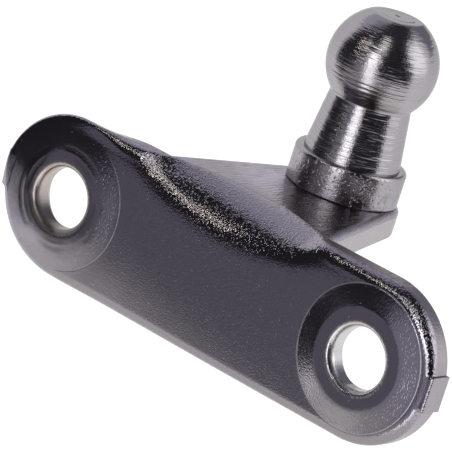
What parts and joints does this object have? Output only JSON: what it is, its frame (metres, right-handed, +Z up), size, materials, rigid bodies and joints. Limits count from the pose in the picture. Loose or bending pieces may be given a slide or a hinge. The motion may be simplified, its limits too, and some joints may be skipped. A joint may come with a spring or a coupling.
{
  "type": "gas spring bracket",
  "caption": "Folded sheet steel bracket: a flange with raised screw bosses, and a tapered tongue that carries a riveted ball stud for a gas spring socket.",
  "frame": {"origin": "in the mounting plane that the pads of both bosses lie in, midway between the screw holes", "axes": "+X along the flange through the screw holes, +Y from the mounting plane towards the tongue, +Z up along the stud"},
  "size_m": [0.0492, 0.0218, 0.0313],
  "materials": {
    "plated_sheet": "bright plated, orange peel at the fold",
    "turned_stud": "bright plated over fine turning lines"
  },
  "bodies": {
    "root": {"bracket": "plated_sheet", "ball_stud": "turned_stud"}
  },
  "joints": []
}
